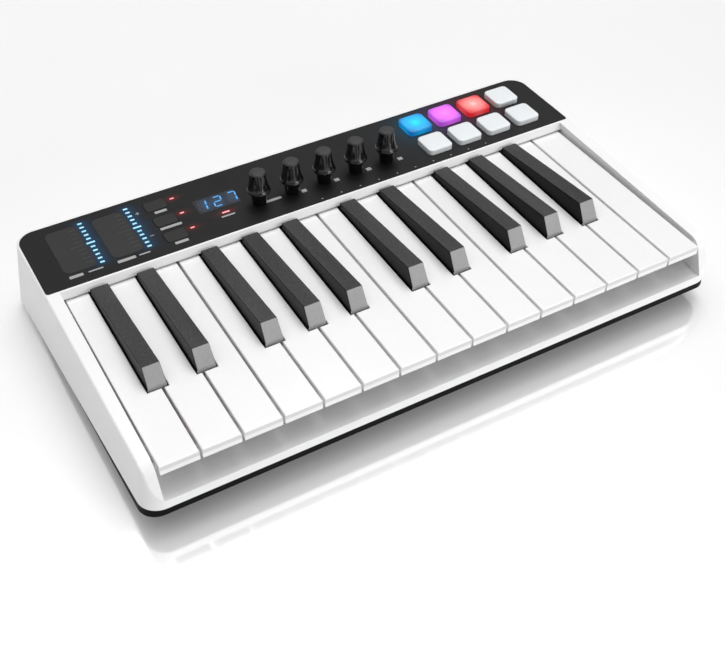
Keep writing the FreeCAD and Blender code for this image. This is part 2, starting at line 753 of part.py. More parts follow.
def make_feet():
    out = []
    for x in (-165.0, 165.0):
        for y in (28.0, 186.0):
            foot = cyl(8.0, FOOT_H, V(x, yy(y), 0.0))
            out.append(foot.makeFillet(0.8, top_edges(foot, 0.0)))
    return Part.makeCompound(out)


def make_screws():
    out = []
    for x, y in SCREWS_FRONT + SCREWS_REAR:
        head = cyl(2.9, 1.6, V(x, yy(y), FOOT_H + 0.35))
        head = head.cut(box(x - 2.0, x + 2.0, yy(y) - 0.3, yy(y) + 0.3, FOOT_H, FOOT_H + 1.2))
        head = head.cut(box(x - 0.3, x + 0.3, yy(y) - 2.0, yy(y) + 2.0, FOOT_H, FOOT_H + 1.2))
        shaft = cyl(1.4, 14.0, V(x, yy(y), FOOT_H + 1.6))
        out.append(head.fuse(shaft).removeSplitter())
    return Part.makeCompound(out)


# ---------------------------------------------------------------- build
outer_case_cache = [outer_case()]

save("top_case", make_top_case())
save("bottom_tray", make_tray())
save("control_panel", make_panel())
save("touch_strips", make_strips())
save("display_window", make_window())
save("display_module", make_display())
save("indicator_leds", Part.makeCompound(led_boxes()))
save("keybed_frame", make_frame())
save("pivot_rod", make_rod())
save("key_springs", make_springs())
save("stop_felts", make_felts())
save("sensor_board", make_sensor_board())
save("dome_strip", make_domes())
save("control_board", make_control_board())
save("rotary_encoders", make_encoders())
save("main_board", make_main_board())
save("rear_jacks", make_jacks())
save("rubber_feet", make_feet())
save("case_screws", make_screws())
for i in range(WHITES):
    save("white_key_%02d" % (i + 1), make_white(i))
for i in range(len(BLACKS)):
    save("black_key_%02d" % (i + 1), make_black(i))
for k in range(5):
    save("knob_%d" % (k + 1), make_knob(k))
n = 0
for cy in PAD_ROWS:
    for cx in PAD_X:
        n += 1
        save("pad_%d" % n, make_pad(cx, cy))
for n, (cx, cy) in enumerate(BUTTONS):
    save("button_%d" % (n + 1), make_button(cx, cy))
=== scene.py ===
"""The look of the portable midi keyboard. Metres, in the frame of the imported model."""
import json
import math

import bmesh
import bpy
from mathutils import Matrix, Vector

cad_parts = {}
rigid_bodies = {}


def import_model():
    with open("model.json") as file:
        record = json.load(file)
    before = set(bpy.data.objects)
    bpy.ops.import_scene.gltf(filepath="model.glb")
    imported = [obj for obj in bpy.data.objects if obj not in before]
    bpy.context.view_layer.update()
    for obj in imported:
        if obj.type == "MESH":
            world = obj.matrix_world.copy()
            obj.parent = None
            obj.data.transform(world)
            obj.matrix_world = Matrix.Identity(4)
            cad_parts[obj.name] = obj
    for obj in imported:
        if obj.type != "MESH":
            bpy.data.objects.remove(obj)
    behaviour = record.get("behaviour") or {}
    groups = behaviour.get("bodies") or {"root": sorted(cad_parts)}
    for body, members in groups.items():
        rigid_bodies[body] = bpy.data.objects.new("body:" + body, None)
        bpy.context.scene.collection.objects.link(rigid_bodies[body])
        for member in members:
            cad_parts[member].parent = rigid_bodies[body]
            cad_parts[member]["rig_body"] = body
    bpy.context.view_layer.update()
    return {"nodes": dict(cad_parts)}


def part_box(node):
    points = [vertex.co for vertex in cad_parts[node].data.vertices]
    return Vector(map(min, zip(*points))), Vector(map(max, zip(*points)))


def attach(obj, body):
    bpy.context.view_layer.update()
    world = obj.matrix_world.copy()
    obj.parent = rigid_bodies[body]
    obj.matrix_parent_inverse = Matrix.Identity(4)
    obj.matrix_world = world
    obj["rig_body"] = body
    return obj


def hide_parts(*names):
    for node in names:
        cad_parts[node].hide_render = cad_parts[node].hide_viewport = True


MM = 0.001
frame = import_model()
nodes = frame["nodes"]
scene = bpy.context.scene


# ---------------------------------------------------------------- places
def body_of(node):
    return nodes[node]["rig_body"]


def middle(node):
    low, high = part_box(node)
    return (low + high) / 2.0


def solids_of(node):
    """(lowest corner, highest corner) of each separate solid in a node."""
    mesh = nodes[node].data
    parent = list(range(len(mesh.vertices)))

    def root(i):
        while parent[i] != i:
            parent[i] = parent[parent[i]]
            i = parent[i]
        return i

    seen = {}
    for v in mesh.vertices:
        key = tuple(round(c * 1e6) for c in v.co)
        if key in seen:
            parent[root(v.index)] = root(seen[key])
        else:
            seen[key] = v.index
    for e in mesh.edges:
        parent[root(e.vertices[0])] = root(e.vertices[1])
    groups = {}
    for v in mesh.vertices:
        groups.setdefault(root(v.index), []).append(v.co)
    boxes = []
    for points in groups.values():
        low = Vector([min(p[i] for p in points) for i in range(3)])
        high = Vector([max(p[i] for p in points) for i in range(3)])
        boxes.append((low, high))
    return sorted(boxes, key=lambda b: (round(b[0].x, 4), round(b[0].y, 4)))


PANEL_LOW, PANEL_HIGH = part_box("control_panel")
DECK = PANEL_HIGH.z
WHITES = sorted(n for n in nodes if n.startswith("white_key_"))
BLACKS = sorted(n for n in nodes if n.startswith("black_key_"))
KNOBS = sorted(n for n in nodes if n.startswith("knob_"))
PADS = sorted(n for n in nodes if n.startswith("pad_"))
BUTTONS = sorted(n for n in nodes if n.startswith("button_"))
KEY_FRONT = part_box(WHITES[0])[0].y
KEY_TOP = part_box(WHITES[0])[1].z
LEDS = solids_of("indicator_leds")
# the blue columns lie left of this X, the red lights right of it
RED_FROM = (LEDS[-1][0].x + LEDS[0][0].x) / 2 + 5 * MM
STRIP_LEDS_TO = -110 * MM
# each digit and its distance in mm from the middle of the display window
DIGIT_PLACES = (("1", -9.3), ("2", 0.9), ("7", 10.9))
PRINT_LIFT = 0.03 * MM
BLACK = (0.0, 0.0, 0.0)


class Shader:
    """A material whose nodes are added one call at a time."""

    def __init__(self, name):
        self.material = bpy.data.materials.new(name)
        self.material.use_nodes = True
        self.tree = self.material.node_tree
        self.tree.nodes.clear()
        self.out = self.add("ShaderNodeOutputMaterial")
        self.bsdf = self.add("ShaderNodeBsdfPrincipled")
        self.join(self.bsdf.outputs[0], self.out.inputs[0])
        self.coords = self.add("ShaderNodeTexCoord")

    def add(self, kind, **values):
        node = self.tree.nodes.new(kind)
        for key, value in values.items():
            setattr(node, key, value)
        return node

    def join(self, a, b):
        self.tree.links.new(a, b)

    def feed(self, socket, value):
        if hasattr(value, "is_output"):
            self.join(value, socket)
        else:
            socket.default_value = value

    def math(self, operation, a, b=0.0):
        node = self.add("ShaderNodeMath", operation=operation)
        self.feed(node.inputs[0], a)
        self.feed(node.inputs[1], b)
        return node.outputs[0]

    def vector(self, operation, a, b=(0.0, 0.0, 0.0)):
        node = self.add("ShaderNodeVectorMath", operation=operation)
        self.feed(node.inputs[0], a)
        self.feed(node.inputs[1], b)
        return node.outputs["Value"] if operation == "LENGTH" else node.outputs[0]

    def noise(self, scale, detail=3.0, rough=0.5, stretch=None):
        node = self.add("ShaderNodeTexNoise")
        node.inputs["Scale"].default_value = scale
        node.inputs["Detail"].default_value = detail
        node.inputs["Roughness"].default_value = rough
        source = self.coords.outputs["Object"]
        if stretch:
            source = self.vector("MULTIPLY", source, stretch)
        self.join(source, node.inputs["Vector"])
        return node.outputs["Fac"]

    def weighted(self, fine, broad, share):
        """Fine and broad noise added, share being the fine one's part."""
        return self.math("ADD", self.math("MULTIPLY", fine, share),
                         self.math("MULTIPLY", broad, round(1.0 - share, 6)))

    def ramp(self, fac, stops, interpolation="LINEAR"):
        node = self.add("ShaderNodeValToRGB")
        node.color_ramp.interpolation = interpolation
        elements = node.color_ramp.elements
        while len(elements) < len(stops):
            elements.new(0.5)
        for element, (place, colour) in zip(elements, stops):
            element.position = place
            element.color = (*colour, 1.0)
        self.join(fac, node.inputs["Fac"])
        return node.outputs["Color"]

    def spread(self, fac, a, b, low=0.0, high=1.0):
        node = self.add("ShaderNodeMapRange")
        self.join(fac, node.inputs["Value"])
        node.inputs["From Min"].default_value = low
        node.inputs["From Max"].default_value = high
        node.inputs["To Min"].default_value = a
        node.inputs["To Max"].default_value = b
        return node.outputs["Result"]

    def mix(self, fac, a, b, kind="MIX"):
        node = self.add("ShaderNodeMix", data_type="RGBA", blend_type=kind)
        self.feed(node.inputs[0], fac)
        for index, value in ((6, a), (7, b)):
            if hasattr(value, "is_output"):
                self.join(value, node.inputs[index])
            else:
                node.inputs[index].default_value = (*value, 1.0)
        return node.outputs[2]

    def bump(self, height, strength, distance):
        node = self.add("ShaderNodeBump")
        node.inputs["Strength"].default_value = strength
        node.inputs["Distance"].default_value = distance
        self.join(height, node.inputs["Height"])
        self.join(node.outputs[0], self.bsdf.inputs["Normal"])

    def axis(self, name, source="Object"):
        node = self.add("ShaderNodeSeparateXYZ")
        self.join(self.coords.outputs[source], node.inputs[0])
        return node.outputs[name]

    def base(self, value):
        self.feed(self.bsdf.inputs["Base Color"], value)


def grained(name, dark, light, rough, grain=900.0, height=0.02, spread=0.06, specular=0.5,
            stretch=None, metallic=0.0):
    """Moulded or painted finish: fine grain in bump and roughness, slight mottling in colour."""
    s = Shader(name)
    fine = s.noise(grain, 4.0, 0.6, stretch)
    broad = s.noise(25.0, 3.0, 0.5, stretch)
    mixed = s.weighted(fine, broad, 0.6)
    s.base(s.ramp(mixed, [(0.3, dark), (0.7, light)]))
    s.join(s.spread(fine, rough - spread, rough + spread, 0.25, 0.75), s.bsdf.inputs["Roughness"])
    s.bump(fine, 0.35, height * MM)
    s.bsdf.inputs["Specular IOR Level"].default_value = specular
    s.bsdf.inputs["Metallic"].default_value = metallic
    return s


def dress(node, shader):
    """Puts a material in every slot of a CAD node."""
    mesh = nodes[node].data
    if not mesh.materials:
        mesh.materials.append(shader.material)
    for i in range(len(mesh.materials)):
        mesh.materials[i] = shader.material


# ---------------------------------------------------------------- mesh helpers
def piece(name, bm, shader, body, smooth=True, at=None):
    """Turns a mesh into an object that rides on a body."""
    mesh = bpy.data.meshes.new(name)
    bm.normal_update()
    bm.to_mesh(mesh)
    bm.free()
    mesh.materials.append(shader.material)
    for face in mesh.polygons:
        face.use_smooth = smooth
    obj = bpy.data.objects.new(name, mesh)
    scene.collection.objects.link(obj)
    if at is not None:
        obj.location = at
    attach(obj, body)
    return obj


def auto_smooth(obj, degrees=35.0):
    """Sharp edges where the surface turns hard, smooth shading elsewhere."""
    bm = bmesh.new()
    bm.from_mesh(obj.data)
    limit = math.radians(degrees)
    for edge in bm.edges:
        if len(edge.link_faces) == 2 and edge.calc_face_angle(0.0) > limit:
            edge.smooth = False
    bm.to_mesh(obj.data)
    bm.free()


def rounded_loop(width, depth, radius, steps=6):
    """Plan points of a rectangle with rounded corners, round the origin."""
    radius = min(radius, width / 2 - 1e-6, depth / 2 - 1e-6)
    points = []
    corners = [(1, 1, 0), (-1, 1, 90), (-1, -1, 180), (1, -1, 270)]
    for sx, sy, start in corners:
        cx = sx * (width / 2 - radius)
        cy = sy * (depth / 2 - radius)
        for k in range(steps + 1):
            a = math.radians(start + 90.0 * k / steps)
            points.append((cx + radius * math.cos(a), cy + radius * math.sin(a)))
    return points


def stack(bm, loops):
    """Closed skin through loops of (x, y, z) points, each with the same number of points."""
    rings = [[bm.verts.new(p) for p in loop] for loop in loops]
    count = len(rings[0])
    for low, high in zip(rings, rings[1:]):
        for k in range(count):
            j = (k + 1) % count
            bm.faces.new((low[k], low[j], high[j], high[k]))
    bm.faces.new(rings[-1])
    bm.faces.new(list(reversed(rings[0])))


def pillow(bm, width, depth, radius, levels, at=(0.0, 0.0)):
    """Rounded block through levels of (inset, z)."""
    loops = []
    for inset, z in levels:
        r = max(radius - inset, 0.12 * radius)
        points = rounded_loop(width - 2 * inset, depth - 2 * inset, r)
        loops.append([(x + at[0], y + at[1], z) for x, y in points])
    stack(bm, loops)


def bar(bm, cx, cy, width, depth, z0, z1, radius):
    """A thin printed bar, its upper edge eased."""
    ease = min((z1 - z0) * 0.4, 0.05 * MM)
    pillow(bm, width, depth, radius, [(0.0, z0), (0.0, z1 - ease), (ease, z1)], (cx, cy))


# ---------------------------------------------------------------- materials
black_base = grained("black_base", (0.001, 0.001, 0.001), (0.003, 0.003, 0.003), 0.55, 1100.0, 0.05,
                     specular=0.08)
felt = grained("felt", (0.25, 0.03, 0.03), (0.42, 0.06, 0.05), 0.95, 1800.0, 0.25, specular=0.1)
rubber = grained("rubber", (0.020, 0.020, 0.021), (0.035, 0.035, 0.036), 0.85, 900.0, 0.08)
grey_frame = grained("grey_frame", (0.10, 0.10, 0.105), (0.14, 0.14, 0.145), 0.55, 900.0, 0.04)
steel = grained("steel", (0.50, 0.51, 0.52), (0.66, 0.66, 0.67), 0.28, 600.0, 0.02,
                metallic=1.0, stretch=(0.05, 1.0, 1.0))
dark_steel = grained("dark_steel", (0.10, 0.10, 0.105), (0.18, 0.18, 0.185), 0.34, 800.0, 0.03,
                     metallic=1.0)
zinc = grained("zinc", (0.42, 0.42, 0.43), (0.58, 0.58, 0.58), 0.32, 700.0, 0.02, metallic=1.0)
silicone = grained("silicone", (0.42, 0.43, 0.44), (0.52, 0.53, 0.54), 0.7, 700.0, 0.05)
socket = grained("socket", (0.012, 0.012, 0.013), (0.026, 0.026, 0.027), 0.38, 900.0, 0.03)
button_skin = grained("button_skin", (0.018, 0.019, 0.018), (0.032, 0.034, 0.032), 0.6, 1500.0, 0.03,
                      specular=0.2)
strip_skin = grained("strip_skin", (0.021, 0.021, 0.022), (0.036, 0.036, 0.037), 0.5, 1700.0, 0.02,
                     specular=0.2)
print_grey = grained("print_grey", (0.30, 0.30, 0.31), (0.42, 0.42, 0.43), 0.6, 2600.0, 0.01)
print_faint = grained("print_faint", (0.052, 0.052, 0.054), (0.075, 0.075, 0.078), 0.6, 2600.0, 0.01)


def board_shader():
    """Green circuit board: solder mask over a maze of tracks."""
    s = Shader("circuit_board")
    cells = s.add("ShaderNodeTexBrick")
    s.join(s.coords.outputs["Object"], cells.inputs["Vector"])
    cells.inputs["Scale"].default_value = 160.0
    cells.inputs["Mortar Size"].default_value = 0.03
    cells.inputs["Color1"].default_value = (0.006, 0.075, 0.030, 1.0)
    cells.inputs["Color2"].default_value = (0.008, 0.095, 0.040, 1.0)
    cells.inputs["Mortar"].default_value = (0.020, 0.160, 0.070, 1.0)
    s.base(s.mix(s.noise(220.0, 4.0), cells.outputs["Color"], (0.004, 0.055, 0.024)))
    s.bsdf.inputs["Roughness"].default_value = 0.3
    s.bump(cells.outputs["Fac"], 0.4, 0.04 * MM)
    return s


def case_shader():
    """Satin white shell, the shelf under the key fronts painted a shade greyer as painted shade from
    the keys above it.
    """
    s = Shader("white_case")
    fine = s.noise(1400.0, 4.0, 0.6)
    broad = s.noise(25.0, 3.0, 0.5)
    mixed = s.weighted(fine, broad, 0.6)
    shell = s.ramp(mixed, [(0.3, (0.83, 0.83, 0.83)), (0.7, (0.88, 0.88, 0.88))])
    # painted shade: the same white shell colour darkened for the shelf under the overhanging keys
    shelf = s.ramp(mixed, [(0.3, (0.74, 0.74, 0.74)), (0.7, (0.84, 0.84, 0.84))])
    # mask of the painted shade: upward faces more than 12 mm below the key tops, fading out 1 to 10
    # mm behind the key fronts
    level = s.spread(s.axis("Z", "Normal"), 0.0, 1.0, 0.80, 0.92)
    below = s.spread(s.axis("Z"), 1.0, 0.0, KEY_TOP - 12.0 * MM, KEY_TOP - 10.0 * MM)
    outer = s.spread(s.axis("Y"), 1.0, 0.0, KEY_FRONT + 1.0 * MM, KEY_FRONT + 10.0 * MM)
    shade = s.math("MULTIPLY", s.math("MULTIPLY", level, below), outer)
    s.base(s.mix(shade, shell, shelf))
    s.join(s.spread(fine, 0.30, 0.42, 0.25, 0.75), s.bsdf.inputs["Roughness"])
    s.bump(fine, 0.35, 0.012 * MM)
    return s


def white_key_shader():
    """Gloss white, the upper half of the front face painted a shade deeper as painted shade."""
    s = Shader("white_key")
    fine = s.noise(700.0, 3.0)
    broad = s.noise(18.0, 3.0)
    mixed = s.weighted(fine, broad, 0.4)
    plain_white = s.ramp(mixed, [(0.3, (0.84, 0.84, 0.84)), (0.7, (0.88, 0.88, 0.88))])
    # mask of the painted shade: forward-facing faces at the key front, in the upper 3 mm
    forward = s.math("MULTIPLY", s.axis("Y", "Normal"), -1.0)
    is_front = s.spread(forward, 0.0, 1.0, 0.80, 0.95)
    near = s.spread(s.axis("Y"), 1.0, 0.0, KEY_FRONT + 1.0 * MM, KEY_FRONT + 2.0 * MM)
    upper = s.spread(s.axis("Z"), 0.0, 1.0, KEY_TOP - 3.1 * MM, KEY_TOP - 2.9 * MM)
    shade = s.math("MULTIPLY", s.math("MULTIPLY", is_front, upper), near)
    # painted shade: a grey (0.66) band on the upper front face; the key itself is all white
    s.base(s.mix(shade, plain_white, (0.66, 0.66, 0.66)))
    s.join(s.spread(fine, 0.14, 0.22, 0.25, 0.75), s.bsdf.inputs["Roughness"])
    s.bump(fine, 0.15, 0.004 * MM)
    s.bsdf.inputs["Coat Weight"].default_value = 0.3
    s.bsdf.inputs["Coat Roughness"].default_value = 0.06
    return s


def black_key_shader():
    """Fine matt grain on top painted lighter as lit, polished black flanks painted darker as shade,
    and a pale satin front facet that is a painted sheen.
    """
    s = Shader("black_key")
    fine = s.noise(1500.0, 4.0, 0.65)
    broad = s.noise(40.0, 3.0, 0.5, (1.0, 0.15, 1.0))
    mixed = s.weighted(fine, broad, 0.7)
    # the tops: the key's own charcoal grain, painted lighter than the flanks where the light falls
    top = s.ramp(mixed, [(0.3, (0.020, 0.020, 0.0205)), (0.7, (0.095, 0.095, 0.096))])
    # the flanks: the same black plastic painted near black as painted shade
    side = s.ramp(mixed, [(0.3, (0.0006, 0.0006, 0.0006)), (0.7, (0.002, 0.002, 0.002))])
    # the front facet: a painted pale sheen on the black plastic
    front = s.ramp(mixed, [(0.3, (0.31, 0.31, 0.313)), (0.7, (0.41, 0.41, 0.413))])
    flank = s.math("ABSOLUTE", s.axis("X", "Normal"))
    is_flank = s.spread(flank, 0.0, 1.0, 0.6, 0.85)
    forward = s.math("MULTIPLY", s.axis("Y", "Normal"), -1.0)
    is_front = s.spread(forward, 0.0, 1.0, 0.62, 0.8)
    s.base(s.mix(is_front, s.mix(is_flank, top, side), front))
    s.join(s.spread(fine, 0.30, 0.46, 0.25, 0.75), s.bsdf.inputs["Roughness"])
    s.bsdf.inputs["Specular IOR Level"].default_value = 0.10
    s.bump(fine, 0.5, 0.03 * MM)
    return s


def window_shader():
    """Smoked window, lit from behind round each digit."""
    s = grained("display_glass", (0.012, 0.012, 0.014), (0.020, 0.020, 0.023), 0.22, 900.0, 0.002,
                0.04)
    centre = middle("display_window")
    spots = []
    for text, shift in DIGIT_PLACES:
        # the 1 lights only the right side of its cell
        lean = 2.0 if text == "1" else 0.0
        spots.append((centre.x + (shift + lean) * MM, centre.y, 3.6 * MM, 5.6 * MM,
                      (0.004, 0.050, 0.125)))
    s.join(halo(s, spots, 2.0, cloud=0.5), s.bsdf.inputs["Emission Color"])
    s.bsdf.inputs["Emission Strength"].default_value = 1.0
    return s


def halo(s, spots, power, cloud=0.0):
    """Sum of soft pools of light at (x, y, reach x, reach y, colour)."""
    patch = None
    if cloud:
        patch = s.math("ADD", s.math("MULTIPLY", s.noise(700.0, 3.0, 0.6), 2 * cloud), 1.0 - cloud)
    total = None
    for cx, cy, rx, ry, colour in spots:
        offset = s.vector("SUBTRACT", s.coords.outputs["Object"], (cx, cy, 0.0))
        scaled = s.vector("MULTIPLY", offset, (1.0 / rx, 1.0 / ry, 0.0))
        away = s.math("POWER", s.vector("LENGTH", scaled), power)
        fade = s.math("EXPONENT", s.math("MULTIPLY", away, -1.0))
        if patch is not None:
            fade = s.math("MULTIPLY", fade, patch)
        tint = s.mix(fade, BLACK, colour)
        total = tint if total is None else s.mix(1.0, total, tint, "ADD")
    return total


def glow_shader(name, inner, outer, reach, strength, ring=0.5, skin=(0.7, 0.7, 0.72)):
    """Lit translucent piece: brightest at its middle, falling to its edges."""
    s = Shader(name)
    flat = s.vector("MULTIPLY", s.coords.outputs["Object"], (1.0, 1.0, 0.0))
    distance = s.vector("LENGTH", flat)
    cloud = s.noise(260.0, 3.0)
    place = s.math("ADD", s.math("DIVIDE", distance, reach),
                   s.math("MULTIPLY", s.math("SUBTRACT", cloud, 0.5), 0.12))
    middle_colour = tuple((a + b) / 2 for a, b in zip(inner, outer))
    colour = s.ramp(place, [(0.0, inner), (ring, middle_colour), (1.0, outer)], "EASE")
    s.base(s.mix(0.5, colour, skin, "MULTIPLY"))
    s.join(colour, s.bsdf.inputs["Emission Color"])
    s.bsdf.inputs["Emission Strength"].default_value = strength
    s.join(s.spread(cloud, 0.35, 0.5), s.bsdf.inputs["Roughness"])
    s.bump(s.noise(1600.0, 3.0), 0.3, 0.02 * MM)
    return s


def pad_shader():
    """Unlit pad: pale silicone that lets a little light in."""
    s = grained("pad_plain", (0.72, 0.745, 0.76), (0.83, 0.855, 0.87), 0.45, 1500.0, 0.02)
    s.bsdf.inputs["Subsurface Weight"].default_value = 0.25
    s.bsdf.inputs["Subsurface Radius"].default_value = (0.002, 0.002, 0.002)
    s.bsdf.inputs["Subsurface Scale"].default_value = 0.5
    return s


def led_shader():
    """Blue light bars in the two columns on the left, red ones further right."""
    s = Shader("indicator_lights")
    is_red = s.math("GREATER_THAN", s.axis("X"), RED_FROM)
    cloud = s.noise(900.0, 2.0)
    blue = s.ramp(cloud, [(0.3, (0.22, 0.62, 0.86)), (0.7, (0.45, 0.80, 0.98))])
    red = s.ramp(cloud, [(0.3, (0.98, 0.22, 0.26)), (0.7, (1.0, 0.45, 0.48))])
    colour = s.mix(is_red, blue, red)
    s.base(s.mix(0.8, colour, (0.3, 0.3, 0.3), "MULTIPLY"))
    s.join(colour, s.bsdf.inputs["Emission Color"])
    s.bsdf.inputs["Emission Strength"].default_value = 0.85
    s.join(s.spread(cloud, 0.3, 0.5), s.bsdf.inputs["Roughness"])
    s.bump(cloud, 0.2, 0.01 * MM)
    return s


def panel_shader():
    """Dark satin panel with fine grain, with painted glow round its lights."""
    s = Shader("control_panel")
    fine = s.noise(1700.0, 4.0, 0.65)
    broad = s.noise(30.0, 3.0)
    mixed = s.weighted(fine, broad, 0.75)
    s.base(s.ramp(mixed, [(0.3, (0.004, 0.004, 0.0045)), (0.7, (0.017, 0.017, 0.0175))]))
    s.join(s.spread(fine, 0.46, 0.60, 0.25, 0.75), s.bsdf.inputs["Roughness"])
    s.bump(fine, 0.6, 0.04 * MM)
    s.bsdf.inputs["Specular IOR Level"].default_value = 0.17
    # painted pools of light round the LEDs and lit pads, carried in the panel's emission
    s.join(halo(s, panel_glows(), 1.35), s.bsdf.inputs["Emission Color"])
    s.bsdf.inputs["Emission Strength"].default_value = 1.0
    return s


def panel_glows():
    """(x, y, reach x, reach y, colour) of the light each lit piece spills on the panel."""
    out = []
    for low, high in LEDS:
        c = (low + high) / 2
        is_red = c.x > RED_FROM
        colour = (0.16, 0.003, 0.004) if is_red else (0.001, 0.034, 0.085)
        reach = 1.7 * MM if is_red else 2.4 * MM
        out.append((c.x, c.y, reach + (high.x - low.x) / 2, reach, colour))
    lit = ((PADS[0], (0.0, 0.075, 0.13)), (PADS[1], (0.075, 0.008, 0.10)),
           (PADS[2], (0.10, 0.004, 0.006)))
    for name, colour in lit:
        c = middle(name)
        out.append((c.x, c.y, 11.0 * MM, 11.5 * MM, colour))
    return out


# ---------------------------------------------------------------- finishes on the CAD pieces
board_skin = board_shader()
key_white = white_key_shader()
key_black = black_key_shader()
finishes = {
    "top_case": case_shader(),
    "bottom_tray": black_base,
    "control_panel": panel_shader(),
    "touch_strips": strip_skin,
    "display_window": window_shader(),
    "display_module": socket,
    "indicator_leds": led_shader(),
    "keybed_frame": grey_frame,
    "pivot_rod": steel,
    "key_springs": steel,
    "stop_felts": felt,
    "sensor_board": board_skin,
    "dome_strip": silicone,
    "control_board": board_skin,
    "rotary_encoders": zinc,
    "main_board": board_skin,
    "rear_jacks": socket,
    "rubber_feet": rubber,
    "case_screws": dark_steel,
}
for name, shader in finishes.items():
    dress(name, shader)
for name in WHITES:
    dress(name, key_white)
for name in BLACKS:
    dress(name, key_black)


# ---------------------------------------------------------------- knobs
def knob_shader():
    """Glossy black body with a rough cap."""
    s = Shader("knob")
    fine = s.noise(1500.0, 4.0, 0.7)
    low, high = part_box(KNOBS[0])
    half = (high.z - low.z) / 2
    cap = s.spread(s.axis("Z"), 0.0, 1.0, half - 1.7 * MM, half - 0.8 * MM)
    rough_skin = s.ramp(fine, [(0.3, (0.001, 0.001, 0.001)), (0.7, (0.018, 0.018, 0.0175))])
    s.base(s.mix(cap, (0.0035, 0.0035, 0.004), rough_skin))
    s.join(s.math("ADD", s.math("MULTIPLY", cap, 0.5), s.spread(fine, 0.13, 0.20)),
           s.bsdf.inputs["Roughness"])
    s.bsdf.inputs["Specular IOR Level"].default_value = 0.75
    s.bump(s.math("MULTIPLY", fine, s.math("ADD", cap, 0.03)), 0.8, 0.16 * MM)
    return s


def make_knob(node, shader):
    """Neck, waist bead, hollow flare and a rounded rough cap, turned as one smooth form."""
    low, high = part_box(node)
    centre = (low + high) / 2
    tall = high.z - low.z
    widest = (high.x - low.x) / 2
    # (height from 0 at the foot to 1 at the top, radius against the widest)
    rings = [
        (0.000, 0.40), (0.000, 0.56), (0.006, 0.580), (0.020, 0.592), (0.125, 0.636),
        (0.240, 0.672), (0.290, 0.688), (0.318, 0.704), (0.336, 0.735), (0.352, 0.795),
        (0.366, 0.880), (0.378, 0.942), (0.390, 0.975), (0.404, 0.994), (0.420, 1.000),
        (0.436, 0.995), (0.448, 0.982), (0.457, 0.962), (0.463, 0.940), (0.470, 0.926),
        (0.480, 0.912), (0.500, 0.892), (0.530, 0.862), (0.570, 0.828), (0.620, 0.792),
        (0.680, 0.756), (0.740, 0.728), (0.800, 0.706), (0.860, 0.690), (0.905, 0.680),
        (0.920, 0.682), (0.935, 0.686), (0.950, 0.680), (0.965, 0.655), (0.978, 0.610),
        (0.988, 0.540), (0.995, 0.440), (0.999, 0.300), (1.000, 0.150), (1.000, 0.050),
    ]
    count = 72
    flutes = 12
    flute_depth = 0.008
    loops = []
    for level, radius in rings:
        loop = []
        # the flutes are deepest at 0.68 of the height and fade out above and below
        grip = max(0.0, 1.0 - abs(level - 0.68) / 0.22)
        for k in range(count):
            a = 2 * math.pi * k / count
            r = widest * radius * (1.0 - flute_depth * grip * (1.0 - math.cos(flutes * a)))
            loop.append((r * math.cos(a), r * math.sin(a), (level - 0.5) * tall))
        loops.append(loop)
    bm = bmesh.new()
    stack(bm, loops)
    obj = piece(node + "_cap", bm, shader, body_of(node), at=centre)
    auto_smooth(obj, 60.0)
    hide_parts(node)


knob_skin = knob_shader()
for name in KNOBS:
    make_knob(name, knob_skin)


# ---------------------------------------------------------------- pads and buttons
def make_cap(node, suffix, shader, skirt, radius, crown):
    """Rounded cap over a hidden skirt; crown is (inset, depth under the top) in mm."""
    low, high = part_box(node)
    half = (high.z - low.z) / 2
    levels = [(-skirt, -half), (-skirt, -half + 1.25 * MM), (0.0, -half + 1.3 * MM)]
    levels += [(inset * MM, half - drop * MM) for inset, drop in crown]
    bm = bmesh.new()
    pillow(bm, high.x - low.x - 2 * skirt, high.y - low.y - 2 * skirt, radius, levels)
    obj = piece(node + suffix, bm, shader, body_of(node), at=middle(node))
    auto_smooth(obj, 50.0)
    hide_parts(node)


PAD_CROWN = [
    (0.0, 1.0), (0.04, 0.7), (0.16, 0.42), (0.38, 0.2), (0.7, 0.08), (1.2, 0.03), (3.0, 0.01),
    (6.0, 0.0),
]
# the buttons dip a little towards the middle
BUTTON_CROWN = [
    (0.0, 0.3), (0.04, 0.14), (0.14, 0.04), (0.32, 0.0), (0.7, 0.01), (1.4, 0.05), (3.0, 0.09),
]
lit_pads = {
    PADS[0]: (glow_shader("pad_blue", (0.0, 0.55, 1.0), (0.004, 0.11, 0.34), 12.5 * MM, 0.9,
                          skin=(0.20, 0.22, 0.24)), "pad_blue"),
    PADS[1]: (glow_shader("pad_magenta", (0.95, 0.17, 1.0), (0.28, 0.055, 0.42), 12.5 * MM, 0.9,
                          skin=(0.24, 0.20, 0.24)), "pad_magenta"),
    PADS[2]: (glow_shader("pad_red", (1.0, 0.42, 0.40), (0.50, 0.014, 0.022), 11.5 * MM, 0.9, 0.35,
                          skin=(0.24, 0.16, 0.16)), "pad_red"),
}
plain_pad = pad_shader()
for name in PADS:
    shader, slot = lit_pads.get(name, (plain_pad, "pad_plain"))
    make_cap(name, "_skin", shader, 1.2 * MM, 3.2 * MM, PAD_CROWN)
for name in BUTTONS:
    make_cap(name, "_key", button_skin, 0.9 * MM, 2.2 * MM, BUTTON_CROWN)


# ---------------------------------------------------------------- display digits
def segment(bm, x0, y0, x1, y1, width, z0, z1):
    """One lit bar with pointed ends."""
    a = Vector((x0, y0, 0.0))
    b = Vector((x1, y1, 0.0))
    along = (b - a).normalized()
    across = Vector((-along.y, along.x, 0.0)) * width / 2
    tip = along * width / 2
    plan = [a, a + tip - across, b - tip - across, b, b - tip + across, a + tip + across]
    loops = [[(p.x, p.y, z) for p in plan] for z in (z0, z1)]
    stack(bm, loops)


